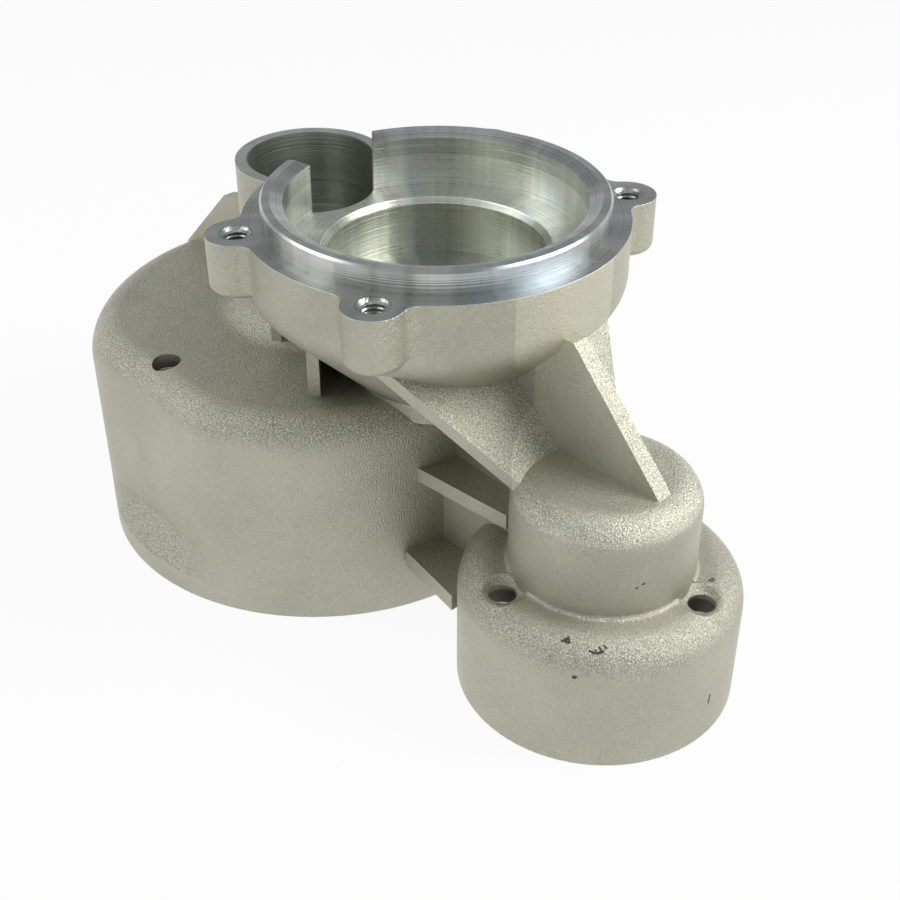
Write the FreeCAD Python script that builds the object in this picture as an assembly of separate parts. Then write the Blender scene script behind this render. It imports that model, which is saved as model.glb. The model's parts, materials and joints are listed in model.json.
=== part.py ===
import FreeCAD, Part
import math
import os

# Die cast aluminium housing, one casting. Lengths in mm, angles in degrees, +Z up.
# Origin: on the axis of the large bell, in the plane of the open rims on which the casting stands.
# +X runs from there through the axis of the upper cup.

# Heights above the rims
CUP_TOP = 80.5  # top of the spigot
BELL_TOP = 44.7  # flat top of the large bell
STEP_TOP = 25.4  # shoulder of the stepped body
BOSS_TOP = 44.2  # top of the boss on the stepped body

# Upper cup: spigot and flange
CUP_REACH = 35.4  # bell axis to cup axis
SPIGOT_R = 31.0
SPIGOT_RISE = 4.1  # spigot above the machined flange
SPIGOT_EDGE = 0.4  # outer chamfer
LIP_LAND = 1.8  # flat land on top of the spigot
LIP_SLOPE = 0.9  # fall of the inner lead-in
CUP_R = 34.5
CUP_WALL = 9.3  # straight outer wall below the flange
CUP_ROUND = 7.0  # rounding from the wall into the cone
CONE_SLOPE = 45.0
NECK_R = 15.6  # foot of the cone on the bell

# Upper cup: bores
BORE_R = 27.0
BORE_DEPTH = 10.4
SEAT_R = 20.0  # lower bearing seat
SEAT_DEPTH = 11.0
SEAT_EDGE = 1.0  # chamfer into the seat
SHAFT_R = 9.0  # shaft passage through the cup floor

# Ears with M5 tapped holes, on a rectangle about the cup axis
EAR_LONG = 61.4
EAR_SHORT = 36.0
EAR_R = 5.3
EAR_SPREAD = 6.0  # each flank opens towards the cup by this angle
EAR_BLEND = 3.0  # inside corner between flank and cup wall
EAR_HEIGHT = 10.5
EAR_EDGE = 1.5  # rounding under the ear
THREAD_R = 2.1  # core of M5 x 0.8
THREAD_DEPTH = 8.5
THREAD_MOUTH = 0.7  # countersink

# Large bell
BELL_R = 46.3
BELL_ROUND = 6.3
WALL = 3.0
FACET_AZ = -92.7
FACET_DEPTH = 4.1  # the flat lies this far inside the round wall
FACET_BLEND = 14.0  # blend between the flat and the round wall
FACET_LOW = 4.5  # the wall is round up to here
FACET_HIGH = 11.0  # and flat from here up
REGISTER_WALL = 2.0  # rim wall round the register that centres the cover
REGISTER_DEPTH = 4.0
BELL_HOLE_R = 2.75
BELL_HOLE_INSET = 10.1  # screw hole axis inside the round wall
BELL_HOLE_WALL = 2.5
BELL_HOLE_LENGTH = 10.0

# Pocket tube above the bell
TUBE_R = 14.4
POCKET_R = 12.1
POCKET_FLOOR = 49.0
TUBE_FOOT = 6.5  # fillet onto the bell
PINION_R = 6.0  # passage from the pocket into the bell

# Stepped body
STEP_AZ = -2.8
STEP_REACH = 44.7  # cup axis to boss axis
STEP_R = 25.6
STEP_ROUND = 6.2
BOSS_R = 16.7
BOSS_ROUND = 5.4
BOSS_FOOT = 0.8
SCREW_PCD = 39.4
SCREW_COUNT = 3
SCREW_AZ = 12.0
SCREW_R = 2.4
SCREW_FACE_R = 4.3
SCREW_FACE_DROP = 2.0  # spot face below the shoulder

# Link between the bell and the stepped body
LINK_HALF = 7.6
LINK_WALL = 2.8
SHELF_TOP = 32.1
SHELF_T = 3.0
SHELF_HALF = (13.0, 10.5)  # at the bell, at the boss
FOOT_TOP = 14.1
FOOT_T = 3.5
FOOT_HALF = (16.2, 18.2)  # at the bell, at the stepped body
SPINE_HALF = 4.7

# Sloping plate from the cup down to the boss
RAMP_SLOPE = 45.0
RAMP_FOOT = 10.2  # where it meets the boss top, before the boss axis
RAMP_HALF = 13.5  # half width there
RAMP_SPREAD = 35.3  # each side opens towards the cup by this angle
RAMP_T = 2.5  # measured upright

# Upright gusset from the cup wall to the boss
GUSSET_AZ = 1.3
GUSSET_SHIFT = 0.7
GUSSET_T = 3.3
GUSSET_FOOT = 11.7  # beyond the boss axis
GUSSET_SLOPE = 47.7
GUSSET_DROP = 10.2  # its top below the flange

# Small ribs and the tail gusset on the bell
RIB_T = 2.2
RIB_INSET = 9.8  # outer end inside the round wall
RIB_AZ = -40.5
STUB_AT = 18.4
STUB_AZ = -65.7
TAIL_T = 2.8
TAIL_TOP = 59.4
TAIL_INSET = 17.7  # outer end of its level top, inside the round wall

FLANGE_Z = CUP_TOP - SPIGOT_RISE
LEDGE_Z = CUP_TOP - BORE_DEPTH
SEAT_Z = LEDGE_Z - SEAT_DEPTH
OVER = 1.0  # a cutting tool reaches this far beyond the face it opens


def vec(x, y, z=0.0):
    return FreeCAD.Vector(x, y, z)


def polar(radius, azimuth, z=0.0, centre=(0.0, 0.0)):
    """Point at a radius and azimuth about an upright axis."""
    angle = math.radians(azimuth)
    return vec(centre[0] + radius * math.cos(angle), centre[1] + radius * math.sin(angle), z)


def mirrored(x, y, z=0.0):
    """The point on the other side of the X axis."""
    return vec(x, -y, z)


def tan(angle):
    return math.tan(math.radians(angle))


BELL = (0.0, 0.0)
CUP = (CUP_REACH, 0.0)
STEP = tuple(polar(STEP_REACH, STEP_AZ, 0.0, CUP))[:2]
BELL_GAP = math.hypot(STEP[0] - BELL[0], STEP[1] - BELL[1]) - BELL_R  # bell wall to boss axis


def cylinder(radius, z0, z1, centre):
    return Part.makeCylinder(radius, z1 - z0, vec(centre[0], centre[1], z0))


def turned(profile, centre):
    """Solid of revolution from (radius, height) points; a third value rounds that corner."""
    corners = []
    count = len(profile)
    for i, point in enumerate(profile):
        here = vec(point[0], 0.0, point[1])
        if len(point) < 3:
            corners.append((here, here, None))
            continue
        before = vec(profile[i - 1][0], 0.0, profile[i - 1][1])
        after = vec(profile[(i + 1) % count][0], 0.0, profile[(i + 1) % count][1])
        into = (before - here).normalize()
        out = (after - here).normalize()
        half = into.getAngle(out) / 2.0
        reach = point[2] / math.tan(half)
        middle = here + (into + out).normalize() * (point[2] / math.sin(half) - point[2])
        corners.append((here + into * reach, here + out * reach, middle))
    edges = []
    for i, corner in enumerate(corners):
        if corner[2] is not None:
            edges.append(Part.Arc(corner[0], corner[2], corner[1]).toShape())
        following = corners[(i + 1) % count][0]
        if corner[1].distanceToPoint(following) > 1e-6:
            edges.append(Part.makeLine(corner[1], following))
    solid = Part.Face(Part.Wire(edges)).revolve(vec(0, 0, 0), vec(0, 0, 1), 360)
    solid.translate(vec(centre[0], centre[1], 0))
    return solid


def upright_plate(outline, centre, azimuth, thickness, shift=0.0):
    """Upright plate from (distance, height) points, centred on the plane at the azimuth."""
    along = polar(1.0, azimuth)
    side = polar(1.0, azimuth + 90)
    base = vec(centre[0], centre[1]) + side * (shift - thickness / 2)
    points = [base + along * s + vec(0, 0, z) for s, z in outline]
    return Part.Face(Part.makePolygon(points + [points[0]])).extrude(side * thickness)


def level_plate(outline, centre, azimuth, z0, z1):
    """Level plate from (distance, offset) points about an upright axis."""
    along = polar(1.0, azimuth)
    side = polar(1.0, azimuth + 90)
    base = vec(centre[0], centre[1], z0)
    points = [base + along * s + side * t for s, t in outline]
    return Part.Face(Part.makePolygon(points + [points[0]])).extrude(vec(0, 0, z1 - z0))


def tapered(s0, half0, s1, half1):
    """Outline symmetrical about the plane of the link."""
    return [(s0, -half0), (s1, -half1), (s1, half1), (s0, half0)]


def cup_body():
    """Outside of the cup: spigot, flange, wall, rounded corner, cone and neck."""
    corner_z = FLANGE_Z - CUP_WALL - CUP_ROUND * tan(CONE_SLOPE / 2)
    foot_z = corner_z - (CUP_R - NECK_R) * tan(CONE_SLOPE)
    base_z = BELL_TOP - WALL
    profile = [
        (0.0, base_z),
        (NECK_R, base_z),
        (NECK_R, max(foot_z, BELL_TOP)),
        (CUP_R, corner_z, CUP_ROUND),
        (CUP_R, FLANGE_Z),
        (SPIGOT_R, FLANGE_Z),
        (SPIGOT_R, CUP_TOP - SPIGOT_EDGE),
        (SPIGOT_R - SPIGOT_EDGE, CUP_TOP),
        (0.0, CUP_TOP),
    ]
    return turned(profile, CUP)


def cup_bore():
    """Inside of the cup: lead-in, bore, ledge, chamfered bearing seat."""
    land_r = SPIGOT_R - LIP_LAND
    profile = [
        (0.0, SEAT_Z),
        (SEAT_R, SEAT_Z),
        (SEAT_R, LEDGE_Z - SEAT_EDGE),
        (SEAT_R + SEAT_EDGE, LEDGE_Z),
        (BORE_R, LEDGE_Z),
        (BORE_R, CUP_TOP - LIP_SLOPE),
        (land_r, CUP_TOP),
        (land_r, CUP_TOP + OVER),
        (0.0, CUP_TOP + OVER),
    ]
    return turned(profile, CUP)


def ear_points():
    """Centres of the four tapped holes."""
    return [(CUP[0] + a * EAR_SHORT / 2, CUP[1] + b * EAR_LONG / 2) for a in (-1, 1) for b in (-1, 1)]


def ear(point):
    """Lug with a round nose; its flanks run into the cup wall through concave blends."""
    reach = math.hypot(point[0] - CUP[0], point[1] - CUP[1])
    turn = math.degrees(math.atan2(point[1] - CUP[1], point[0] - CUP[0]))
    lean = math.radians(EAR_SPREAD)
    normal = vec(math.sin(lean), math.cos(lean))
    along = vec(math.cos(lean), -math.sin(lean))
    nose = vec(reach, 0) + normal * EAR_R
    root = nose - along * (reach - BORE_R)
    depth = normal.x * reach + EAR_R + EAR_BLEND
    blend = normal * depth + along * math.sqrt((CUP_R + EAR_BLEND) ** 2 - depth**2)
    flank = blend - normal * EAR_BLEND
    wall = blend * (CUP_R / (CUP_R + EAR_BLEND))
    middle = blend + ((flank - blend).normalize() + (wall - blend).normalize()).normalize() * EAR_BLEND
    inside = flank - along * EAR_BLEND - normal * EAR_BLEND
    edges = [
        Part.makeLine(mirrored(*root), mirrored(*nose)),
        Part.Arc(mirrored(*nose), vec(reach + EAR_R, 0), nose).toShape(),
        Part.makeLine(nose, root),
        Part.makeLine(root, mirrored(*root)),
    ]
    lug = Part.Face(Part.Wire(edges)).extrude(vec(0, 0, EAR_HEIGHT))
    under = [e for e in lug.Edges if e.BoundBox.ZMax < OVER / 10 and e.BoundBox.XMax > reach]
    parts = [lug.makeFillet(EAR_EDGE, under)]
    for side in (vec, mirrored):
        corners = [side(p.x, p.y) for p in (wall, middle, flank, inside)]
        wedge = [
            Part.Arc(corners[0], corners[1], corners[2]).toShape(),
            Part.makeLine(corners[2], corners[3]),
            Part.makeLine(corners[3], corners[0]),
        ]
        parts.append(Part.Face(Part.Wire(wedge)).extrude(vec(0, 0, EAR_HEIGHT - EAR_EDGE)))
        parts[-1].translate(vec(0, 0, EAR_EDGE))
    for part in parts:
        part.rotate(vec(0, 0, 0), vec(0, 0, 1), turn)
        part.translate(vec(CUP[0], CUP[1], FLANGE_Z - EAR_HEIGHT))
    return parts


def tapped_hole(point):
    core = cylinder(THREAD_R, FLANGE_Z - THREAD_DEPTH, FLANGE_Z + OVER, point)
    foot = vec(point[0], point[1], FLANGE_Z - THREAD_MOUTH)
    wide = THREAD_R + THREAD_MOUTH + OVER
    mouth = Part.makeCone(THREAD_R, wide, THREAD_MOUTH + OVER, foot)
    return core.fuse(mouth)


def flatted_wire(radius, flat, z, share):
    """Circle about the bell axis with one flat; the share 0 gives the round wall, 1 the full flat."""
    reach = radius - FACET_BLEND
    turn = math.acos((flat - FACET_BLEND) / reach)
    half_flat = math.atan2(reach * math.sin(turn), flat)
    steps = {}
    for name, angle in (("edge", half_flat), ("inner", (half_flat + turn) / 2), ("round", turn)):
        round_point = vec(radius * math.cos(angle), radius * math.sin(angle), z)
        steps[name] = round_point
    centre = vec(reach * math.cos(turn), reach * math.sin(turn), z)
    flat_points = {
        "edge": vec(flat, centre.y, z),
        "inner": centre + vec(math.cos(turn / 2), math.sin(turn / 2)) * FACET_BLEND,
        "round": steps["round"],
    }
    mixed = {k: steps[k] * (1 - share) + flat_points[k] * share for k in steps}
    front = vec(radius * (1 - share) + flat * share, 0, z)
    lower = {k: vec(p.x, -p.y, z) for k, p in mixed.items()}
    if share < 1:
        first = Part.Arc(lower["edge"], front, mixed["edge"]).toShape()
    else:
        first = Part.makeLine(lower["edge"], mixed["edge"])
    edges = [
        first,
        Part.Arc(mixed["edge"], mixed["inner"], mixed["round"]).toShape(),
        Part.Arc(mixed["round"], vec(-radius, 0, z), lower["round"]).toShape(),
        Part.Arc(lower["round"], lower["inner"], lower["edge"]).toShape(),
    ]
    return Part.Wire(edges)


def flatted_drum(inset, z0, z1, rounding):
    """Bell shape: round below, running out into one flat above, the top edge rounded."""
    radius = BELL_R - inset
    flat = radius - FACET_DEPTH
    foot = cylinder(radius, z0, FACET_LOW, BELL)
    middle = (FACET_LOW + FACET_HIGH) / 2
    lower = flatted_wire(radius, flat, FACET_LOW, 0.0)
    waist = flatted_wire(radius, flat, middle, 0.5)
    upper = flatted_wire(radius, flat, FACET_HIGH, 1.0)
    skirt = Part.makeLoft([lower, waist, upper], True, True)
    drum = Part.Face(upper).extrude(vec(0, 0, z1 - FACET_HIGH))
    rim = [e for e in drum.Edges if e.BoundBox.ZMin > z1 - 0.01]
    body = foot.fuse([skirt, drum.makeFillet(rounding, rim)])
    body.rotate(vec(0, 0, 0), vec(0, 0, 1), FACET_AZ)
    return body


def tube_body():
    profile = [
        (0.0, BELL_TOP - WALL),
        (TUBE_R + TUBE_FOOT, BELL_TOP - WALL),
        (TUBE_R + TUBE_FOOT, BELL_TOP),
        (TUBE_R, BELL_TOP, TUBE_FOOT - 0.01),
        (TUBE_R, FLANGE_Z),
        (0.0, FLANGE_Z),
    ]
    return turned(profile, BELL)


def step_body():
    """Outside of the stepped body, the spot faces of its screw holes already sunk."""
    profile = [
        (0.0, 0.0),
        (STEP_R, 0.0),
        (STEP_R, STEP_TOP, STEP_ROUND),
        (BOSS_R, STEP_TOP, BOSS_FOOT),
        (BOSS_R, BOSS_TOP, BOSS_ROUND),
        (0.0, BOSS_TOP),
    ]
    body = turned(profile, STEP)
    boss = cylinder(BOSS_R, 0.0, BOSS_TOP, STEP)
    for point in screw_points():
        face = cylinder(SCREW_FACE_R, STEP_TOP - SCREW_FACE_DROP, STEP_TOP + STEP_ROUND, point)
        body = body.cut(face.cut(boss))
    return body


def step_cavity():
    profile = [
        (0.0, -OVER),
        (STEP_R - WALL, -OVER),
        (STEP_R - WALL, STEP_TOP - WALL - SCREW_FACE_DROP, STEP_ROUND - WALL),
        (BOSS_R - WALL, STEP_TOP - WALL - SCREW_FACE_DROP),
        (BOSS_R - WALL, BOSS_TOP - WALL, BOSS_ROUND - WALL),
        (0.0, BOSS_TOP - WALL),
    ]
    return turned(profile, STEP)


def screw_points():
    points = [polar(SCREW_PCD / 2, SCREW_AZ + i * 360.0 / SCREW_COUNT, 0, STEP) for i in range(SCREW_COUNT)]
    return [(p.x, p.y) for p in points]


def ramp_z(s):
    """Height of the sloping plate at a distance from the boss axis, towards the stepped side."""
    return BOSS_TOP - (s + RAMP_FOOT) * tan(RAMP_SLOPE)


def ramp():
    """Sloping plate, widening from the boss to the cone of the cup."""
    low = -RAMP_FOOT / 2
    high = NECK_R - STEP_REACH
    outline = []
    for s, sign in ((low, -1), (high, -1), (high, 1), (low, 1)):
        half = RAMP_HALF - (s + RAMP_FOOT) * tan(RAMP_SPREAD)
        outline.append((s, sign * half))
    prism = level_plate(outline, STEP, STEP_AZ, SHELF_TOP, CUP_TOP)
    slab = [
        (high, ramp_z(high)),
        (low, ramp_z(low)),
        (low, ramp_z(low) - RAMP_T),
        (high, ramp_z(high) - RAMP_T),
    ]
    return prism.common(upright_plate(slab, STEP, STEP_AZ, 4 * CUP_R))


def gusset():
    """Upright plate above the ramp, from the cup wall to the far side of the boss top."""
    top_z = FLANGE_Z - GUSSET_DROP
    root = NECK_R - STEP_REACH
    outline = [
        (GUSSET_FOOT, BOSS_TOP),
        (GUSSET_FOOT - (top_z - BOSS_TOP) / tan(GUSSET_SLOPE), top_z),
        (root, top_z),
        (root, ramp_z(root) - RAMP_T / 2),
        (-RAMP_FOOT, BOSS_TOP - RAMP_T / 2),
        (GUSSET_FOOT + WALL / 4, BOSS_TOP - WALL / 2),
    ]
    return upright_plate(outline, STEP, GUSSET_AZ, GUSSET_T, GUSSET_SHIFT)


def link():
    """Shelves, channel walls and spine between the bell and the stepped body."""
    root = -BELL_GAP - WALL / 2
    end = -BOSS_R + WALL
    foot_end = -STEP_R + 2 * WALL
    channel = tapered(root, LINK_HALF, end, LINK_HALF)
    shelf = tapered(root, SHELF_HALF[0], end, SHELF_HALF[1])
    foot = tapered(root, FOOT_HALF[0], foot_end, FOOT_HALF[1])
    parts = [
        level_plate(channel, STEP, STEP_AZ, FOOT_TOP - FOOT_T, SHELF_TOP),
        level_plate(shelf, STEP, STEP_AZ, SHELF_TOP - SHELF_T, SHELF_TOP),
        level_plate(foot, STEP, STEP_AZ, FOOT_TOP - FOOT_T, FOOT_TOP),
    ]
    spine = [
        (root, SHELF_TOP - WALL / 2),
        (end, SHELF_TOP - WALL / 2),
        (end, ramp_z(end) - RAMP_T / 2),
        (root, ramp_z(root) - RAMP_T / 2),
    ]
    parts.append(upright_plate(spine, STEP, STEP_AZ, 2 * SPINE_HALF))
    return parts


def link_channel():
    """Open channel under the upper shelf."""
    half = LINK_HALF - LINK_WALL
    outline = tapered(-BELL_GAP + WALL / 2, half, -STEP_R + WALL / 2, half)
    return level_plate(outline, STEP, STEP_AZ, FOOT_TOP - FOOT_T - OVER, SHELF_TOP - SHELF_T)


def ribs():
    """Two long ribs, alike on both sides of the plane of the two axes, a stub and the tail gusset."""
    root = POCKET_R
    low = BELL_TOP - WALL / 2
    end = BELL_R - RIB_INSET
    corner = BELL_R - TAIL_INSET
    rib = [(root, low), (end, low), (end, SEAT_Z - WALL), (root, SEAT_Z - WALL)]
    stub = [(root, low), (STUB_AT, low), (STUB_AT, SEAT_Z), (root, SEAT_Z)]
    tail = [
        (root, low),
        (corner + TAIL_TOP - low, low),
        (corner, TAIL_TOP),
        (TUBE_R + TUBE_FOOT, TAIL_TOP + WALL / 2),
        (root, TAIL_TOP + WALL / 2),
    ]
    parts = [upright_plate(tail, BELL, 180, TAIL_T)]
    for azimuth in (RIB_AZ, -RIB_AZ):
        parts.append(upright_plate(rib, BELL, azimuth, RIB_T))
    parts.append(upright_plate(stub, BELL, STUB_AZ, RIB_T))
    return parts


def bell_hole():
    point = polar(BELL_R - BELL_HOLE_INSET, FACET_AZ, 0, BELL)
    return (point.x, point.y)


def housing():
    """The whole casting: every solid feature joined, then every hollow cut."""
    solids = [flatted_drum(0.0, 0.0, BELL_TOP, BELL_ROUND), tube_body(), step_body(), ramp(), gusset()]
    solids += link() + ribs()
    for point in ear_points():
        solids += ear(point)
    body = cup_body().fuse(solids)
    hollows = [
        cup_bore(),
        cylinder(SHAFT_R, BELL_TOP - WALL - OVER, SEAT_Z + OVER, CUP),
        cylinder(POCKET_R, POCKET_FLOOR, CUP_TOP + OVER, BELL),
        cylinder(PINION_R, BELL_TOP - WALL - OVER, POCKET_FLOOR + OVER, BELL),
        flatted_drum(WALL, -OVER, BELL_TOP - WALL, BELL_ROUND - WALL),
        cylinder(BELL_R - REGISTER_WALL, -OVER, REGISTER_DEPTH, BELL),
        step_cavity(),
        link_channel(),
    ]
    hollows += [tapped_hole(p) for p in ear_points()]
    hollows += [cylinder(SCREW_R, STEP_TOP / 2, STEP_TOP + OVER, p) for p in screw_points()]
    for hollow in hollows:
        body = body.cut(hollow)
    post_top = BELL_TOP - (WALL + BELL_ROUND) / 2
    post = cylinder(BELL_HOLE_R + BELL_HOLE_WALL, BELL_TOP - BELL_HOLE_LENGTH, post_top, bell_hole())
    post = post.common(flatted_drum(WALL / 2, 0.0, BELL_TOP - WALL / 2, BELL_ROUND - WALL / 2))
    body = body.fuse(post)
    body = body.cut(cylinder(BELL_HOLE_R, BELL_TOP / 2, BELL_TOP + OVER, bell_hole()))
    return body.removeSplitter()


if __name__ == "__main__":
    os.makedirs("parts", exist_ok=True)
    shape = housing()
    print("solids", len(shape.Solids), [round(s.Volume) for s in shape.Solids], shape.isValid())
    shape.Solids[0].exportStep("parts/housing.step")
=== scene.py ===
import json
import math
from typing import NamedTuple

import bmesh
import bpy
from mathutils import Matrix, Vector


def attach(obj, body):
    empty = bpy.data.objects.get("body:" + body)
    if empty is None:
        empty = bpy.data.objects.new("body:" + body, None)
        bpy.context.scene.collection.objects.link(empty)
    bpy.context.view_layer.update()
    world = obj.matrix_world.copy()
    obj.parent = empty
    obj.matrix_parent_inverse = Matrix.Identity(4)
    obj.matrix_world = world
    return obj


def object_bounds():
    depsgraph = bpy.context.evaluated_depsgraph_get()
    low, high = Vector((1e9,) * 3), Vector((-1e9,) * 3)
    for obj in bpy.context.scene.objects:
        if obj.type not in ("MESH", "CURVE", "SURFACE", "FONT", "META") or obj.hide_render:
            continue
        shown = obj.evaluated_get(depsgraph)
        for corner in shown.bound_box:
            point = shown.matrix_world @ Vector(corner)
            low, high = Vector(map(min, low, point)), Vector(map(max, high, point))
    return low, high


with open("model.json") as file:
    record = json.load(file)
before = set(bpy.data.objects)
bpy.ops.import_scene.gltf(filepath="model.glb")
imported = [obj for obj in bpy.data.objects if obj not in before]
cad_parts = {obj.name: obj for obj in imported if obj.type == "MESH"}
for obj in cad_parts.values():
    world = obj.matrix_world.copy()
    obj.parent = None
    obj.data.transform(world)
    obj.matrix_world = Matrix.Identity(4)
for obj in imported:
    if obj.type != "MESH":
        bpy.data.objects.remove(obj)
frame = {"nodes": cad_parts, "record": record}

bl_info = {
    "name": "Die cast housing",
    "version": (1, 0, 0),
    "blender": (4, 5, 0),
    "location": "View3D > Sidebar > Housing",
    "description": "Finish, screw threads and studio for a die cast aluminium gear housing",
    "category": "Object",
}

MM = 0.001
CAD_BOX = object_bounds()
MOUNTS = {mount["name"]: mount for mount in frame["record"]["mounts"]}


def place(name):
    """Point of a mount, in metres."""
    return Vector(MOUNTS[name]["pos_m"])


def dim(name, key):
    """A length of a mount, in millimetres."""
    return MOUNTS[name]["dims"][key]


# ---------------------------------------------------------------- places from the frame

CUP = place("cup_bore")
BELL = place("bell_register")
STEP = place("step_bore")
FLANGE_Z = place("flange_face").z

# heights and radii below are in millimetres, as the materials use them
FLANGE = FLANGE_Z / MM
BORE_R = dim("cup_bore", "r_mm")
LEDGE = CUP.z / MM - dim("cup_bore", "length_mm") / 2
SEAT_FLOOR = place("bearing_seat").z / MM - dim("bearing_seat", "length_mm") / 2
POCKET_R = dim("pocket_bore", "r_mm")
POCKET_FLOOR = place("pocket_bore").z / MM - 5.0
EAR_HOLE_R = dim("ear_holes", "hole_r_mm")
EAR_HALF = (dim("ear_holes", "spacing_x_mm") / 2, dim("ear_holes", "spacing_y_mm") / 2)
SCREW_R = dim("step_screw_holes", "hole_r_mm")
SCREW_SEAT = place("step_screw_holes").z / MM
SCREW_TURN = math.radians(12.0)
BELL_HOLE = place("bell_screw_hole")
BELL_HOLE_R = dim("bell_screw_hole", "r_mm")

# the stepped body: its shoulder, the rounding of the shoulder and the boss that stands on it
SHOULDER = SCREW_SEAT + 2.0
BODY_R = 25.6
ROUNDING = 6.2
BOSS_R = 16.7
BOSS_TOP = 40.3


def ear_centres():
    """Axes of the tapped holes in the ears, in metres."""
    half_x, half_y = (half * MM for half in EAR_HALF)
    centre = place("ear_holes")
    return [centre + Vector((sx * half_x, sy * half_y, 0.0)) for sx in (-1, 1) for sy in (-1, 1)]


def screw_centres():
    """Axes of the screw holes on the stepped body's shoulder, in metres."""
    count = dim("step_screw_holes", "count")
    radius = dim("step_screw_holes", "pcd_mm") / 2 * MM
    turns = [SCREW_TURN + math.tau * i / count for i in range(count)]
    return [STEP + Vector((math.cos(turn), math.sin(turn), 0.0)) * radius for turn in turns]


def shoulder_angle(radius):
    """Slope of the stepped body's skin at a radius in mm: a quarter turn on the flat, 0 at the wall."""
    out = (radius - (BODY_R - ROUNDING)) / ROUNDING
    return math.acos(min(1.0, max(0.0, out)))


def shoulder_height(radius):
    """Height in mm of the stepped body's shoulder at a radius in mm."""
    return SHOULDER - ROUNDING * (1.0 - math.sin(shoulder_angle(radius)))


# ---------------------------------------------------------------- sizes and colours


class HousingThreads(bpy.types.PropertyGroup):
    pitch: bpy.props.FloatProperty(
        name="Pitch",
        description="Distance from one turn to the next",
        default=0.8 * MM,
        unit="LENGTH",
        precision=5,
    )
    crest: bpy.props.FloatProperty(
        name="Crest",
        description="How far the thread stands in from the core wall",
        default=0.3 * MM,
        unit="LENGTH",
        precision=5,
    )
    mouth: bpy.props.FloatProperty(
        name="Mouth",
        description="First turn below the ear face",
        default=0.5 * MM,
        unit="LENGTH",
        precision=5,
    )
    flare: bpy.props.FloatProperty(
        name="Flare",
        description="Depth of the countersink at the mouth",
        default=0.7 * MM,
        unit="LENGTH",
        precision=5,
    )
    length: bpy.props.FloatProperty(
        name="Length",
        description="Threaded length of each hole",
        default=7.2 * MM,
        unit="LENGTH",
        precision=5,
    )
    steps: bpy.props.IntProperty(name="Steps", description="Segments in one turn", default=48, min=12)


class HousingScrewFaces(bpy.types.PropertyGroup):
    dip: bpy.props.FloatProperty(
        name="Dip",
        description="Depth of the cast dish below the shoulder",
        default=1.0 * MM,
        unit="LENGTH",
        precision=5,
    )
    seat: bpy.props.FloatProperty(
        name="Seat radius",
        description="Radius of the sunk seat that the dish lies in",
        default=4.3 * MM,
        unit="LENGTH",
        precision=5,
    )
    spread: bpy.props.FloatProperty(
        name="Spread",
        description="How much wider the dish runs out where it stands above the rounding",
        default=0.8 * MM,
        unit="LENGTH",
        precision=5,
    )
    worn: bpy.props.FloatProperty(
        name="Worn mouth",
        description="Radius of the worn edge of the hole",
        default=0.35 * MM,
        unit="LENGTH",
        precision=5,
    )
    steps: bpy.props.IntProperty(name="Steps", description="Segments round each hole", default=96, min=24)


class HousingFinish(bpy.types.PropertyGroup):
    cast: bpy.props.FloatVectorProperty(
        name="Cast skin",
        description="Colour of the shot-blasted skin",
        default=(0.50, 0.497, 0.405),
        subtype="COLOR",
        size=3,
    )
    cut: bpy.props.FloatVectorProperty(
        name="Machined",
        description="Colour of the turned and milled faces",
        default=(0.72, 0.74, 0.70),
        subtype="COLOR",
        size=3,
    )
    # stain of the nicks, also used as painted shade down inside the screw holes
    stain: bpy.props.FloatVectorProperty(
        name="Stain",
        description="Colour of the nicks and of the depth of the holes",
        default=(0.05, 0.045, 0.04),
        subtype="COLOR",
        size=3,
    )
    grain: bpy.props.FloatProperty(
        name="Grain",
        description="Size of the blasted grain",
        default=0.3 * MM,
        unit="LENGTH",
        precision=5,
    )
    grooves: bpy.props.FloatProperty(
        name="Grooves",
        description="Pitch of the turned lines",
        default=0.55 * MM,
        unit="LENGTH",
        precision=5,
    )
    relief: bpy.props.FloatProperty(
        name="Relief",
        description="Height of the grain and of the turned lines",
        default=0.24 * MM,
        unit="LENGTH",
        precision=5,
    )


class HousingStudio(bpy.types.PropertyGroup):
    eye: bpy.props.FloatVectorProperty(
        name="Camera",
        description="Where the camera stands",
        default=(0.20214, -0.15604, 0.18183),
        subtype="XYZ",
        unit="LENGTH",
    )
    aim: bpy.props.FloatVectorProperty(
        name="Aim",
        description="Direction in which the camera looks",
        default=(-0.59649, 0.57001, -0.56506),
        subtype="DIRECTION",
    )
    lens: bpy.props.FloatProperty(
        name="Lens",
        description="Focal length on a 36 mm sensor",
        default=56.04,
        unit="CAMERA",
    )
    key: bpy.props.FloatProperty(
        name="Key",
        description="Power of the large soft light on the right",
        default=2.1,
        unit="POWER",
    )
    side: bpy.props.FloatProperty(
        name="Side",
        description="Power of the soft light on the left",
        default=1.0,
        unit="POWER",
    )
    top: bpy.props.FloatProperty(
        name="Top",
        description="Power of the overhead light",
        default=0.3,
        unit="POWER",
    )
    room: bpy.props.FloatProperty(name="Room", description="Light of the room itself", default=0.24, min=0.0)
    floor: bpy.props.FloatVectorProperty(
        name="Floor",
        description="Colour of the floor",
        default=(0.82, 0.82, 0.81),
        subtype="COLOR",
        size=3,
    )


# ---------------------------------------------------------------- shader expressions


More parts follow.
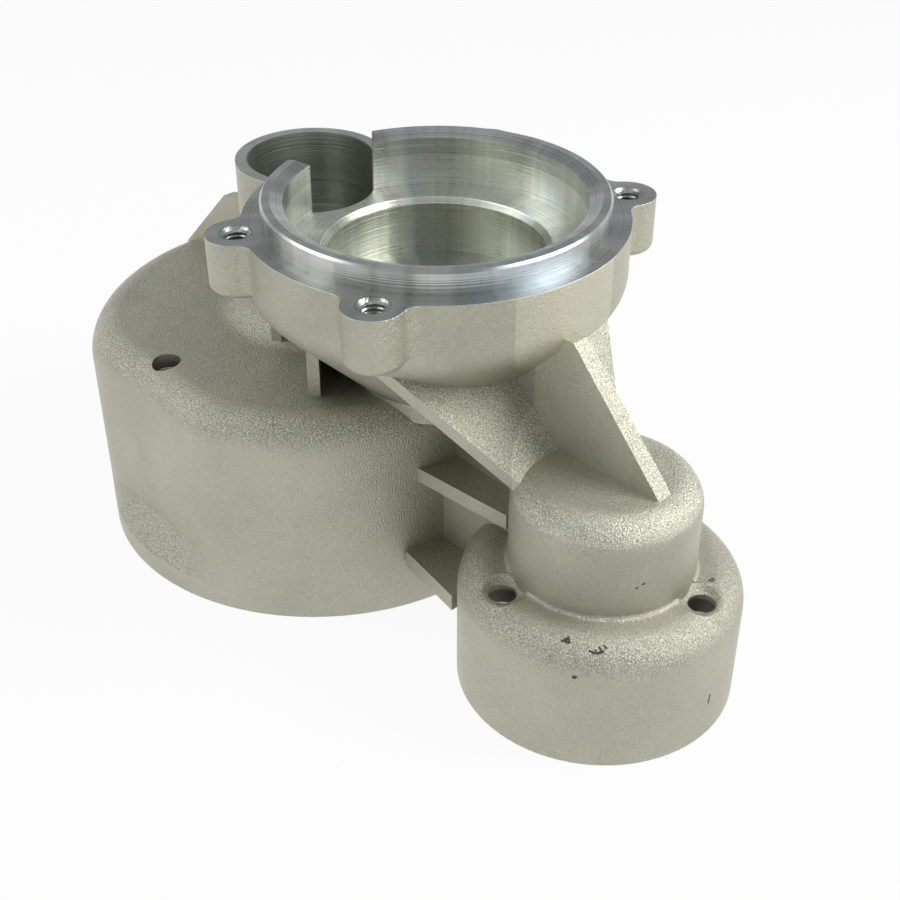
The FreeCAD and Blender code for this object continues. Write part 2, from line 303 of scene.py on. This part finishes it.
class Wire:
    """A shader socket that adds Math nodes when it is used in an expression."""

    def __init__(self, tree, socket):
        self.tree = tree
        self.socket = socket

    def node(self, kind, settings=None, out=0, **inputs):
        """Any node: its type, its settings, then values or links for its sockets by name or as in0, in1..."""
        made = self.tree.nodes.new(kind)
        for key, value in (settings or {}).items():
            setattr(made, key, value)
        for key, value in inputs.items():
            target = made.inputs[int(key[2:]) if key.startswith("in") else key.replace("_", " ")]
            if isinstance(value, Wire):
                self.tree.links.new(value.socket, target)
            elif value is not None:
                target.default_value = value
        return Wire(self.tree, made.outputs[out] if made.outputs else None)

    def output(self, name):
        """Another output of the same node."""
        return Wire(self.tree, self.socket.node.outputs[name])

    def math(self, operation, *values, clamp=False):
        inputs = {f"in{i}": value for i, value in enumerate(values)}
        return self.node("ShaderNodeMath", {"operation": operation, "use_clamp": clamp}, **inputs)

    def __add__(self, other):
        return self.math("ADD", self, other)

    def __sub__(self, other):
        return self.math("SUBTRACT", self, other)

    def __mul__(self, other):
        return self.math("MULTIPLY", self, other)

    def __rsub__(self, other):
        return self.math("SUBTRACT", other, self)

    __radd__ = __add__
    __rmul__ = __mul__

    def __or__(self, other):
        return self.math("MAXIMUM", self, other)

    def __and__(self, other):
        return self.math("MINIMUM", self, other)

    def step(self, low, high):
        """0 below low, 1 above high, smooth between them; the other way round if low is above high."""
        rising = high > low
        ends = (low, high) if rising else (high, low)
        return self.node(
            "ShaderNodeMapRange",
            {"interpolation_type": "SMOOTHSTEP"},
            in0=self,
            in1=ends[0],
            in2=ends[1],
            in3=0.0 if rising else 1.0,
            in4=1.0 if rising else 0.0,
        )

    def over(self, limit, soft):
        """1 over the limit, fading to 0 within soft below it."""
        return self.step(limit - soft, limit)

    def under(self, limit, soft):
        """1 under the limit, fading to 0 within soft above it."""
        return self.step(limit + soft, limit)


class Sheet:
    """A material or world under construction: its tree and the expressions that its masks use."""

    def __init__(self, owner):
        owner.use_nodes = True
        self.tree = owner.node_tree
        self.tree.nodes.clear()
        self.root = Wire(self.tree, None)

    def node(self, kind, settings=None, out=0, **inputs):
        return self.root.node(kind, settings, out, **inputs)

    def mix(self, factor, first, second):
        """Colour between two colours."""
        inputs = {"in0": factor, "in6": self.colour(first), "in7": self.colour(second)}
        return self.node("ShaderNodeMix", {"data_type": "RGBA"}, out=2, **inputs)

    def blend(self, factor, first, second):
        """Number between two numbers."""
        return self.node("ShaderNodeMix", {"data_type": "FLOAT"}, in0=factor, in2=first, in3=second)

    @staticmethod
    def colour(value):
        return value if isinstance(value, Wire) else (*value, 1.0)

    def toned(self, mask, colour, tone):
        """The colour, multiplied by a tone where the mask is 1."""
        return self.mix(mask, colour, self.vector("MULTIPLY", colour, tone))

    def vector(self, operation, first, second=None, out=0):
        return self.node("ShaderNodeVectorMath", {"operation": operation}, out=out, in0=first, in1=second)

    def point(self):
        """Place on the part, in millimetres."""
        own = self.node("ShaderNodeTexCoord", out=3)
        return self.node("ShaderNodeVectorMath", {"operation": "SCALE"}, in0=own, Scale=1 / MM)

    def xyz(self, vector):
        split = self.node("ShaderNodeSeparateXYZ", in0=vector)
        return [split.output(axis) for axis in "XYZ"]

    def join(self, x, y, z):
        return self.node("ShaderNodeCombineXYZ", in0=x, in1=y, in2=z)

    def noise(self, vector, grain, detail=2.0, roughness=0.5):
        """Noise whose grain is as large as given, in the vector's own unit."""
        return self.node(
            "ShaderNodeTexNoise",
            {"noise_dimensions": "3D"},
            Vector=vector,
            Scale=1.0 / grain,
            Detail=detail,
            Roughness=roughness,
        )

    def gap(self, first, second):
        """Distance between two points."""
        return self.vector("DISTANCE", first, second, out=1)

    def away(self, point, centre):
        """Distance in plan from an upright axis, in millimetres."""
        flat = self.vector("MULTIPLY", point, (1.0, 1.0, 0.0))
        return self.gap(flat, (centre.x / MM, centre.y / MM, 0.0))

    def turned_lines(self, distance, z, across):
        """Uneven turned lines: a noise that changes only with the distance from the axis and the height."""
        run = self.join(distance + z * TURNED_RISE, 0.0, 0.0)
        return self.noise(run, across, detail=3.0, roughness=0.65)

    def scratch(self, point, start, end, half_width, torn):
        """Ragged line between two points, 1 along its middle."""
        run = end - start
        along = self.vector("SUBTRACT", point, tuple(start))
        share = self.vector("DOT_PRODUCT", along, tuple(run / run.length_squared), out=1)
        share = share.math("ADD", share, 0.0, clamp=True)
        near = self.join(share * run.x, share * run.y, share * run.z)
        ragged = self.gap(along, near) + (torn * TORN_DEPTH - TORN_DEPTH / 2)
        return ragged.step(half_width * SCRATCH_EDGE[0], half_width * SCRATCH_EDGE[1])

    def chip(self, point, at, reach):
        """Ragged patch about one point, 1 in its middle."""
        ragged = CHIP_RAGGED * reach
        wander = self.noise(point, reach * CHIP_WANDER) * (2.0 * ragged) - ragged
        return (self.gap(point, at) + wander).step(reach, reach * CHIP_CORE)


def shade(colour, factor):
    """A colour made lighter or darker by one factor, or tinted by three."""
    factors = factor if isinstance(factor, tuple) else (factor,) * 3
    return [min(1.0, part * own) for part, own in zip(colour, factors)]


# ---------------------------------------------------------------- nicks and chip


class Nick(NamedTuple):
    """A group of short strokes in the stepped body's skin, about one point; lengths in mm, angles in degrees."""

    azimuth: float  # of the point, about the body's axis
    radius: float
    strokes: int
    length: float
    half_width: float
    lean: float = 0.0  # of the middle stroke, up from level
    turn: float = 0.0  # from one stroke to the next
    chain: float = 0.0  # from one stroke to the next, along them
    gap: float = 0.0  # from one stroke to the next, across them
    height: float = None  # on an upright wall; on the shoulder the radius gives it


NICKS = (
    Nick(azimuth=-64, radius=22.3, strokes=3, length=1.2, half_width=0.21, lean=25, turn=23, gap=0.2),
    Nick(azimuth=-50.5, radius=23.4, strokes=4, length=0.85, half_width=0.22, lean=4, turn=17, chain=0.5),
    Nick(azimuth=-49, radius=22.8, strokes=3, length=0.6, half_width=0.17, lean=-60, turn=20, gap=0.9),
    Nick(azimuth=-58, radius=25.5, strokes=1, length=0.2, half_width=0.34, height=20.0),
    Nick(azimuth=-27.5, radius=BOSS_R, strokes=2, length=0.35, half_width=0.17, lean=30, chain=1.2, height=32.3),
    Nick(azimuth=28, radius=19.7, strokes=2, length=1.0, half_width=0.17, lean=-26, turn=-9, gap=0.4),
    Nick(azimuth=1.5, radius=BODY_R, strokes=1, length=1.8, half_width=0.25, lean=84, height=8.5),
)
TORN_GRAIN = 0.45  # mm, of the raggedness of a scratch
TORN_DEPTH = 0.5  # mm
SCRATCH_EDGE = (1.3, 0.6)  # of the half width, where a scratch starts and where it is full

# a chip in the spigot's inner edge
CHIP_TURN = math.radians(66.6)
CHIP_R = 29.1
CHIP_HEIGHT = 79.9
CHIP_REACH = 0.7
CHIP_RAGGED = 0.35  # of the reach
CHIP_WANDER = 0.9  # of the reach
CHIP_CORE = 0.45  # of the reach


def nick_strokes(nick):
    """Both ends of each stroke, in mm from the stepped body's axis in plan and above the rims."""
    turn = math.radians(nick.azimuth)
    out = Vector((math.cos(turn), math.sin(turn), 0.0))
    level = Vector((-math.sin(turn), math.cos(turn), 0.0))
    on_wall = nick.height is not None
    slope = 0.0 if on_wall else shoulder_angle(nick.radius)
    height = nick.height if on_wall else shoulder_height(nick.radius)
    upward = Vector((0.0, 0.0, math.cos(slope))) - out * math.sin(slope)
    middle = out * nick.radius + Vector((0.0, 0.0, height))

    def way(degrees):
        angle = math.radians(degrees)
        return level * math.cos(angle) + upward * math.sin(angle)

    for i in range(nick.strokes):
        rank = i - (nick.strokes - 1) / 2
        along = way(nick.lean + nick.turn * rank / 2) * (nick.chain * rank)
        across = way(nick.lean + 90.0) * (nick.gap * rank)
        half = way(nick.lean + nick.turn * rank) * (nick.length / 2)
        centre = middle + along + across
        yield centre - half, centre + half


def nicks_and_chip(sheet, point):
    """1 where the skin is nicked or chipped."""
    torn = sheet.noise(point, TORN_GRAIN)
    from_step = sheet.vector("SUBTRACT", point, (STEP.x / MM, STEP.y / MM, 0.0))
    chip_at = (
        CUP.x / MM + CHIP_R * math.cos(CHIP_TURN),
        CUP.y / MM + CHIP_R * math.sin(CHIP_TURN),
        CHIP_HEIGHT,
    )
    marks = sheet.chip(point, chip_at, CHIP_REACH)
    for nick in NICKS:
        for start, end in nick_strokes(nick):
            marks = marks | sheet.scratch(from_step, start, end, nick.half_width, torn)
    return marks


# ---------------------------------------------------------------- materials

# grain and clouds of the skin, in mm
COARSE_GRAIN = 0.9
CLOUD_GRAIN = 17.0
TINT_GRAIN = 31.0
FLECK_SHARE = 0.8  # size of a bright or dark fleck, of the grain

# where a noise starts to show and where it shows in full
CLOUD_RANGE = (0.38, 0.66)
TINT_RANGE = (0.4, 0.64)
DARK_FLECK_RANGE = (0.5, 0.3)
BRIGHT_FLECK_RANGE = (0.52, 0.72)
STREAK_RANGE = (0.35, 0.65)
BROAD_RANGE = (0.5, 0.7)
GROOVE_RANGE = (0.56, 0.3)
WEAR_RANGE = (0.4, 0.65)

# painted glint: the flecks show most in the colour on skin that leans upward, less on flat tops and least on
# walls
LEAN_RANGE = (-0.1, 0.7)
FLAT_RANGE = (1.0, 0.85)
PAINTED_GLINT_WALL, PAINTED_GLINT_FLAT, PAINTED_GLINT_LEANING = 0.2, 0.3, 0.4

# colours, as factors on the cast or the cut colour
CLOUDS = (0.93, 1.06)
WARM = (1.05, 0.985, 0.98)
# dark and bright grain flecks, partly real grain and partly painted shade and painted highlight
DARK_FLECK, BRIGHT_FLECK = 0.5, 1.7
# painted reflections on the cut metal: light and dark streaks and broad cool bands
PAINTED_REFLECTION_STREAKS = (0.86, 1.16)
COOL_REFLECTION = (0.8, 0.9, 1.04)
GROOVE = 0.6
# painted highlight along the boss's foot
FOOT_HIGHLIGHT = 1.4
# painted shade of the threads in the ear holes, as factors on the cut colour
THREAD_PAINTED_SHADE = (0.42, 0.68)

# painted light and shade of single places: darker top faces, a lighter bore, darker ear hole mouths, darker
# depths below the ledge and in the pocket, and a lighter boss top
TOP_FACE_SHADE = (0.74, 0.74, 0.75)
BORE_LIGHT = (1.12, 1.11, 1.08)
MOUTH_SHADE = (0.6, 0.6, 0.58)
DEEP_SHADE = (0.74, 0.74, 0.71)
BOSS_TOP_LIGHT = (1.22, 1.22, 1.22)

TURNED_RISE = 1.3  # how fast the turned lines change with height, against the radius
MARGIN = 0.1  # mm by which a mask passes the wall that it covers
SKIN_METAL = 0.92


def cast_skin(sheet, p, finish, grain):
    """Blasted skin: slow clouds, a warm tint and grain flecks, painted stronger as glint and shade where the
    skin leans upward.
    """
    cloud = sheet.noise(p, CLOUD_GRAIN)
    tint = sheet.noise(p, TINT_GRAIN, detail=1.0)
    dark, pale = (shade(finish.cast, factor) for factor in CLOUDS)
    skin = sheet.mix(cloud.step(*CLOUD_RANGE), dark, pale)
    skin = sheet.mix(tint.step(*TINT_RANGE) * 0.5, skin, shade(finish.cast, WARM))
    # painted glint: the flecks darken and lighten the colour most where the skin's normal leans upward
    lean = sheet.xyz(sheet.node("ShaderNodeNewGeometry").output("Normal"))[2]
    painted_glint_off_walls = lean.step(*FLAT_RANGE) * PAINTED_GLINT_LEANING + PAINTED_GLINT_FLAT
    painted_glint = lean.step(*LEAN_RANGE) * painted_glint_off_walls + PAINTED_GLINT_WALL
    fleck = sheet.noise(p, grain * FLECK_SHARE, detail=1.0)
    skin = sheet.mix(fleck.step(*DARK_FLECK_RANGE) * painted_glint, skin, shade(finish.cast, DARK_FLECK))
    return sheet.mix(fleck.step(*BRIGHT_FLECK_RANGE) * painted_glint, skin, shade(finish.cast, BRIGHT_FLECK))


def cut_metal(sheet, p, finish, lines, streak_and_reflection):
    """Turned and milled metal: painted reflections as light and dark streaks that run down the bore and broad
    cool bands, and dark grooves.
    """
    dull, bright = (shade(finish.cut, factor) for factor in PAINTED_REFLECTION_STREAKS)
    broad_reflection = sheet.noise(round_cup(sheet, p), 0.7, detail=1.0)
    metal = sheet.mix(streak_and_reflection.step(*STREAK_RANGE), dull, bright)
    metal = sheet.mix(broad_reflection.step(*BROAD_RANGE) * 0.55, metal, shade(finish.cut, COOL_REFLECTION))
    return sheet.mix(lines.step(*GROOVE_RANGE) * 0.4, metal, shade(finish.cut, GROOVE))


def round_cup(sheet, p):
    """Direction in plan from the cup's axis."""
    around = sheet.vector("SUBTRACT", p, (CUP.x / MM, CUP.y / MM, 0.0))
    return sheet.vector("NORMALIZE", sheet.vector("MULTIPLY", around, (1.0, 1.0, 0.0)))


def ear_distance(sheet, p):
    """Distance in plan from the nearest ear hole's axis, in millimetres."""
    folded = sheet.vector("ABSOLUTE", sheet.vector("SUBTRACT", p, (CUP.x / MM, 0.0, 0.0)))
    return sheet.away(folded, Vector((*EAR_HALF, 0.0)) * MM)


def painted_hole_shade(sheet, p, z):
    """1 down inside the screw holes of the stepped body and of the bell, where the colour gets painted shade."""
    deep = None
    for centre in screw_centres():
        inside = sheet.away(p, centre).under(SCREW_R + MARGIN, 0.25)
        deep = inside if deep is None else deep | inside
    deep = deep & z.under(SCREW_SEAT - 0.4, 1.4)
    bell_hole = sheet.away(p, BELL_HOLE).under(BELL_HOLE_R + MARGIN, 0.2)
    return deep | (bell_hole & z.under(BELL_HOLE.z / MM + 3.0, 3.0))


def housing_material(finish):
    """Cast skin, turned and milled faces and the marks on them, by place on the part."""
    made = bpy.data.materials.new("cast_aluminium")
    sheet = Sheet(made)
    p = sheet.point()
    z = sheet.xyz(p)[2]
    cup_r, bell_r, step_r = (sheet.away(p, axis) for axis in (CUP, BELL, STEP))

    # where the tool has been
    top_faces = z.over(FLANGE - 0.06, 0.1)
    in_cup = cup_r.under(BORE_R + 2 * MARGIN, 0.2) & z.over(SEAT_FLOOR - MARGIN, 0.2)
    in_pocket = bell_r.under(POCKET_R + MARGIN, 0.2) & z.over(POCKET_FLOOR - MARGIN, 0.2)
    rims = z.under(0.03, 0.05)
    ear_mouth = ear_distance(sheet, p).under(EAR_HOLE_R + 0.8, 0.1) & z.over(FLANGE - 9.0, 1.0)
    below_ledge = in_cup & z.under(LEDGE - 0.3, 0.6)
    cut = top_faces | in_cup | in_pocket | rims | ear_mouth

    # where the boss meets the shoulder, for a thin painted highlight, and the boss's top, which is painted
    # lighter
    foot_ring = step_r.over(BOSS_R + 0.05, 0.25) & step_r.under(BOSS_R + 0.3, 0.25)
    boss_foot_highlight = foot_ring & z.over(SHOULDER + 0.1, 0.3) & z.under(SHOULDER + 0.5, 0.5)
    boss_top = step_r.under(BOSS_R - 0.4, 0.3) & z.over(BOSS_TOP, 0.4)

    grain_mm = finish.grain / MM
    grain = sheet.noise(p, grain_mm, detail=3.0, roughness=0.6)
    coarse = sheet.noise(p, COARSE_GRAIN)
    bore_lines, pocket_lines = (sheet.turned_lines(r, z, finish.grooves / MM) for r in (cup_r, bell_r))
    lines = sheet.blend(in_pocket, bore_lines, pocket_lines)
    # streaks round the cup's axis: roughness, and painted reflection in the colour
    streak_and_reflection = sheet.noise(round_cup(sheet, p), 0.22, detail=3.0, roughness=0.6)
    marks = nicks_and_chip(sheet, p)

    # painted light on the boss's top
    skin = sheet.toned(boss_top, cast_skin(sheet, p, finish, grain_mm), BOSS_TOP_LIGHT)
    # painted shade on the top faces, painted light in the bore, painted shade at the ear holes' mouths, below
    # the ledge and in the pocket
    metal = sheet.toned(top_faces, cut_metal(sheet, p, finish, lines, streak_and_reflection), TOP_FACE_SHADE)
    metal = sheet.toned(in_cup, metal, BORE_LIGHT)
    metal = sheet.toned(ear_mouth, metal, MOUTH_SHADE)
    metal = sheet.toned(below_ledge | in_pocket, metal, DEEP_SHADE)
    colour = sheet.mix(cut, skin, metal)
    # painted shade down inside the screw holes and the bell's hole
    colour = sheet.mix(painted_hole_shade(sheet, p, z) * 0.8, colour, finish.stain)
    # a thin painted highlight where the boss meets the shoulder
    colour = sheet.mix(boss_foot_highlight * 0.25, colour, shade(finish.cast, FOOT_HIGHLIGHT))
    colour = sheet.mix(marks * 0.9, colour, finish.stain)

    rough_skin = coarse * 0.12 + 0.36
    rough_cut = lines * 0.16 + streak_and_reflection * 0.10 + 0.16
    rough = sheet.blend(cut, rough_skin, rough_cut) + marks * 0.2

    height = sheet.blend(cut, grain + coarse * 0.3, lines * 0.5)
    bump = sheet.node("ShaderNodeBump", Strength=1.0, Distance=finish.relief, Height=height)
    shader = sheet.node(
        "ShaderNodeBsdfPrincipled",
        Base_Color=colour,
        Roughness=rough,
        Metallic=SKIN_METAL,
        Normal=bump,
    )
    sheet.node("ShaderNodeOutputMaterial", Surface=shader)
    return made


def thread_material(finish):
    """Metal of the tapped threads with worn patches, painted darker than the turned faces as shade, since little
    light reaches into the holes.
    """
    made = bpy.data.materials.new("cut_thread")
    sheet = Sheet(made)
    wear = sheet.noise(sheet.point(), 0.5)
    # painted shade: the threads darker than the turned faces, varied by the wear noise
    dull, bright = (shade(finish.cut, factor) for factor in THREAD_PAINTED_SHADE)
    colour = sheet.mix(wear.step(*WEAR_RANGE), dull, bright)
    shader = sheet.node(
        "ShaderNodeBsdfPrincipled",
        Base_Color=colour,
        Roughness=wear * 0.2 + 0.24,
        Metallic=1.0,
    )
    sheet.node("ShaderNodeOutputMaterial", Surface=shader)
    return made


def paper_material(floor_colour):
    """Pale floor that the camera and reflections see as white, with the part's shadow kept."""
    made = bpy.data.materials.new("paper")
    sheet = Sheet(made)
    speck = sheet.noise(sheet.point(), 1.2)
    colour = sheet.mix(speck, shade(floor_colour, 0.985), floor_colour)
    paper = sheet.node(
        "ShaderNodeBsdfPrincipled",
        Base_Color=colour,
        Roughness=1.0,
        Specular_IOR_Level=0.0,
    )
    glow = sheet.node("ShaderNodeEmission", Color=(1.0, 1.0, 1.0, 1.0), Strength=1.0)
    path = sheet.node("ShaderNodeLightPath")
    seen = path.output("Is Camera Ray") | path.output("Is Glossy Ray") | path.output("Is Transmission Ray")
    shader = sheet.node("ShaderNodeMixShader", in0=seen * 0.93, in1=paper, in2=glow)
    sheet.node("ShaderNodeOutputMaterial", Surface=shader)
    return made


# ---------------------------------------------------------------- operators


def piece_from(work, name, material, smooth=False):
    """Object made from a bmesh, riding on the casting."""
    bmesh.ops.recalc_face_normals(work, faces=work.faces)
    for face in work.faces:
        face.smooth = smooth
    mesh = bpy.data.meshes.new(name)
    work.to_mesh(mesh)
    work.free()
    mesh.materials.append(material)
    piece = bpy.data.objects.new(name, mesh)
    bpy.context.scene.collection.objects.link(piece)
    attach(piece, "root")
    return piece


class HOUSING_OT_finish(bpy.types.Operator):
    """Give the casting its blasted skin, its turned and milled faces and its nicks"""

    bl_idname = "housing.finish"
    bl_label = "Finish the casting"

    def execute(self, context):
        casting = frame["nodes"]["housing"]
        casting.data.materials.clear()
        casting.data.materials.append(housing_material(context.scene.housing_finish))
        return {"FINISHED"}


class HOUSING_OT_threads(bpy.types.Operator):
    """Cut a screw thread into each tapped ear"""

    bl_idname = "housing.threads"
    bl_label = "Threads in the ears"

    HALF_SHARE = 0.44  # half height of the ridge at its root, of the pitch
    TIP_SHARE = 0.14  # half height at its tip, of that
    SUNK = 0.03 * MM  # how far the root lies inside the wall
    RUN_IN, RUN_OUT = 3, 2  # how fast the ridge grows and fades, per turn

    def execute(self, context):
        sizes = context.scene.housing_threads
        material = thread_material(context.scene.housing_finish)
        for number, centre in enumerate(ear_centres(), start=1):
            self.thread(f"ear_thread_{number}", sizes, centre, material)
        return {"FINISHED"}

    def thread(self, name, sizes, centre, material):
        """One helical ridge of triangular section that stands in from the core wall."""
        work = bmesh.new()
        turns = sizes.length / sizes.pitch
        count = int(turns * sizes.steps)
        before = None
        for i in range(count + 1):
            ring = self.section(work, sizes, centre, turns, i / count)
            if before:
                for a in range(4):
                    b = (a + 1) % 4
                    work.faces.new((before[a], before[b], ring[b], ring[a]))
            else:
                work.faces.new(list(reversed(ring)))
            before = ring
        work.faces.new(before)
        piece_from(work, name, material)

    def section(self, work, sizes, centre, turns, share):
        """The ridge's four corners at a share of its length."""
        core = EAR_HOLE_R * MM
        angle = math.tau * turns * share
        z = FLANGE_Z - sizes.mouth - sizes.length * share
        fade = min(1.0, share * turns * self.RUN_IN, (1 - share) * turns * self.RUN_OUT)
        crest = core - sizes.crest * fade
        half = sizes.pitch * self.HALF_SHARE
        tip = half * self.TIP_SHARE
        ring = []
        for radius, drop in ((core, half), (crest, tip), (crest, -tip), (core, -half)):
            if radius == core:
                radius += self.SUNK + max(0.0, z + drop - (FLANGE_Z - sizes.flare))
            x = centre.x + radius * math.cos(angle)
            y = centre.y + radius * math.sin(angle)
            ring.append(work.verts.new((x, y, z + drop)))
        return ring


class HOUSING_OT_screw_faces(bpy.types.Operator):
    """Blend each screw hole of the stepped body into the shoulder with a soft cast dish"""

    bl_idname = "housing.screw_faces"
    bl_label = "Dishes at the screw holes"

    MOUTH, RUN = 6, 16  # rings in the worn mouth and in the run out to the shoulder
    INSET = 0.02 * MM  # how far the dish's hole stands in from the casting's
    SUNK = 0.05 * MM  # how far the dish's underside lies in the seat
    SKIRT = 0.5 * MM  # depth of the hidden outer wall

    def execute(self, context):
        sizes = context.scene.housing_screw_faces
        material = frame["nodes"]["housing"].data.materials[0]
        for number, centre in enumerate(screw_centres(), start=1):
            self.dish(f"screw_face_{number}", sizes, centre, material)
        return {"FINISHED"}

    def dish(self, name, sizes, centre, material):
        """Ring that fills the sunk seat: a hole with a worn mouth, a flat, then a soft run into the shoulder."""
        work = bmesh.new()
        rings = []
        for k in range(-1, self.MOUTH + self.RUN + 2):
            ring = []
            for i in range(sizes.steps):
                turn = math.tau * i / sizes.steps
                way = Vector((math.cos(turn), math.sin(turn), 0.0))
                away, z = self.profile(sizes, centre, way, k)
                point = centre + way * away
                ring.append(work.verts.new((point.x, point.y, z)))
            rings.append(ring)
        rings.append(rings[0])
        for low, high in zip(rings, rings[1:]):
            for i in range(sizes.steps):
                j = (i + 1) % sizes.steps
                work.faces.new((low[i], low[j], high[j], high[i]))
        piece_from(work, name, material, smooth=True)

    def profile(self, sizes, centre, way, k):
        """Distance from the hole's axis and height of ring k, in metres, towards one side."""
        level = SHOULDER * MM - sizes.dip
        underside = SCREW_SEAT * MM - self.SUNK
        hole = SCREW_R * MM - self.INSET
        flat = SCREW_R * MM + sizes.worn
        if k < 0:
            return hole, underside
        if k < self.MOUTH:
            bend = math.pi / 2 * k / self.MOUTH
            inward, down = 1 - math.cos(bend), 1 - math.sin(bend)
            return hole + (flat - hole) * inward, level - sizes.worn * down
        edge = self.skin(centre + way * sizes.seat)
        reach = sizes.seat + sizes.spread * smooth((level - edge) / sizes.spread)
        share = min(1.0, (k - self.MOUTH) / self.RUN)
        away = flat + (reach - flat) * share
        z = level + (self.skin(centre + way * away) - level) * smooth(share)
        if k > self.MOUTH + self.RUN:
            z = min(z - self.SKIRT, underside)
        return away, z

    @staticmethod
    def skin(point):
        """Height of the shoulder at a point in plan, in metres."""
        return shoulder_height((point - STEP).to_2d().length / MM) * MM


def smooth(share):
    """0 to 1 with a soft start and end."""
    share = min(1.0, max(0.0, share))
    return share * share * (3.0 - 2.0 * share)


class HOUSING_OT_studio(bpy.types.Operator):
    """Set the floor, the soft lights, the white room and the camera"""

    bl_idname = "housing.studio"
    bl_label = "Studio"

    FLOOR_HALF = 1.5
    FLOOR_DROP = 0.02 * MM  # below the part, so that the two faces don't coincide
    WALL_COLOUR = (1.0, 1.0, 1.0)
    CEILING_COLOUR = (0.20, 0.21, 0.23)
    # place from the middle of the part, then the diameter, in metres
    LAMPS = {
        "key": ((0.32, 0.24, 0.33), 0.34),
        "side": ((-0.32, -0.28, 0.42), 0.36),
        "top": ((-0.02, -0.06, 0.55), 0.45),
    }

    def execute(self, context):
        studio = context.scene.housing_studio
        self.camera(context, studio)
        self.floor(context, studio)
        self.room(context, studio)
        middle = (CAD_BOX[0] + CAD_BOX[1]) / 2
        for name, (offset, diameter) in self.LAMPS.items():
            self.lamp(context, name, middle, Vector(offset), diameter, getattr(studio, name))
        context.scene.view_settings.view_transform = "Standard"
        return {"FINISHED"}

    @staticmethod
    def camera(context, studio):
        data = bpy.data.cameras.new("camera")
        data.lens = studio.lens
        data.sensor_width = 36.0
        eye = bpy.data.objects.new("camera", data)
        context.scene.collection.objects.link(eye)
        eye.location = studio.eye
        eye.rotation_mode = "QUATERNION"
        eye.rotation_quaternion = Vector(studio.aim).to_track_quat("-Z", "Y")
        context.scene.camera = eye

    def floor(self, context, studio):
        half = self.FLOOR_HALF
        mesh = bpy.data.meshes.new("floor")
        corners = [(-half, -half, 0.0), (half, -half, 0.0), (half, half, 0.0), (-half, half, 0.0)]
        mesh.from_pydata(corners, [], [(0, 1, 2, 3)])
        mesh.materials.append(paper_material(studio.floor))
        floor = bpy.data.objects.new("floor", mesh)
        floor.location.z = CAD_BOX[0].z - self.FLOOR_DROP
        context.scene.collection.objects.link(floor)

    def room(self, context, studio):
        """White for the camera, bright walls and a darker ceiling in reflections, an even level elsewhere."""
        world = bpy.data.worlds.new("room")
        context.scene.world = world
        sheet = Sheet(world)
        up = sheet.xyz(sheet.node("ShaderNodeTexCoord"))[2]
        walls = sheet.mix(up.step(0.0, 0.5), self.WALL_COLOUR, self.CEILING_COLOUR)
        path = sheet.node("ShaderNodeLightPath")
        level = sheet.mix(path.output("Is Glossy Ray"), (studio.room,) * 3, walls)
        level = sheet.mix(path.output("Is Camera Ray"), level, self.WALL_COLOUR)
        light = sheet.node("ShaderNodeBackground", Color=level, Strength=1.0)
        sheet.node("ShaderNodeOutputWorld", Surface=light)

    @staticmethod
    def lamp(context, name, middle, offset, diameter, power):
        data = bpy.data.lights.new(name, "AREA")
        data.shape = "DISK"
        data.size = diameter
        data.energy = power
        lamp = bpy.data.objects.new(name, data)
        context.scene.collection.objects.link(lamp)
        lamp.location = middle + offset
        lamp.rotation_mode = "QUATERNION"
        lamp.rotation_quaternion = (-offset).to_track_quat("-Z", "Y")


class HOUSING_PT_panel(bpy.types.Panel):
    """Housing tools"""

    bl_idname = "HOUSING_PT_panel"
    bl_label = "Housing"
    bl_space_type = "VIEW_3D"
    bl_region_type = "UI"
    bl_category = "Housing"

    def draw(self, context):
        for group, (_, operator) in GROUPS.items():
            box = self.layout.box()
            settings = getattr(context.scene, group)
            for name in settings.__annotations__:
                box.prop(settings, name)
            box.operator(operator)


GROUPS = {
    "housing_finish": (HousingFinish, "housing.finish"),
    "housing_threads": (HousingThreads, "housing.threads"),
    "housing_screw_faces": (HousingScrewFaces, "housing.screw_faces"),
    "housing_studio": (HousingStudio, "housing.studio"),
}
CLASSES = (
    *(group for group, _ in GROUPS.values()),
    HOUSING_OT_finish,
    HOUSING_OT_threads,
    HOUSING_OT_screw_faces,
    HOUSING_OT_studio,
    HOUSING_PT_panel,
)


def register():
    for made in CLASSES:
        bpy.utils.register_class(made)
    for name, (group, _) in GROUPS.items():
        setattr(bpy.types.Scene, name, bpy.props.PointerProperty(type=group))


def unregister():
    for name in GROUPS:
        delattr(bpy.types.Scene, name)
    for made in reversed(CLASSES):
        bpy.utils.unregister_class(made)


def main():
    register()
    bpy.ops.housing.studio()
    bpy.ops.housing.finish()
    bpy.ops.housing.threads()
    bpy.ops.housing.screw_faces()


if __name__ == "__main__":
    main()
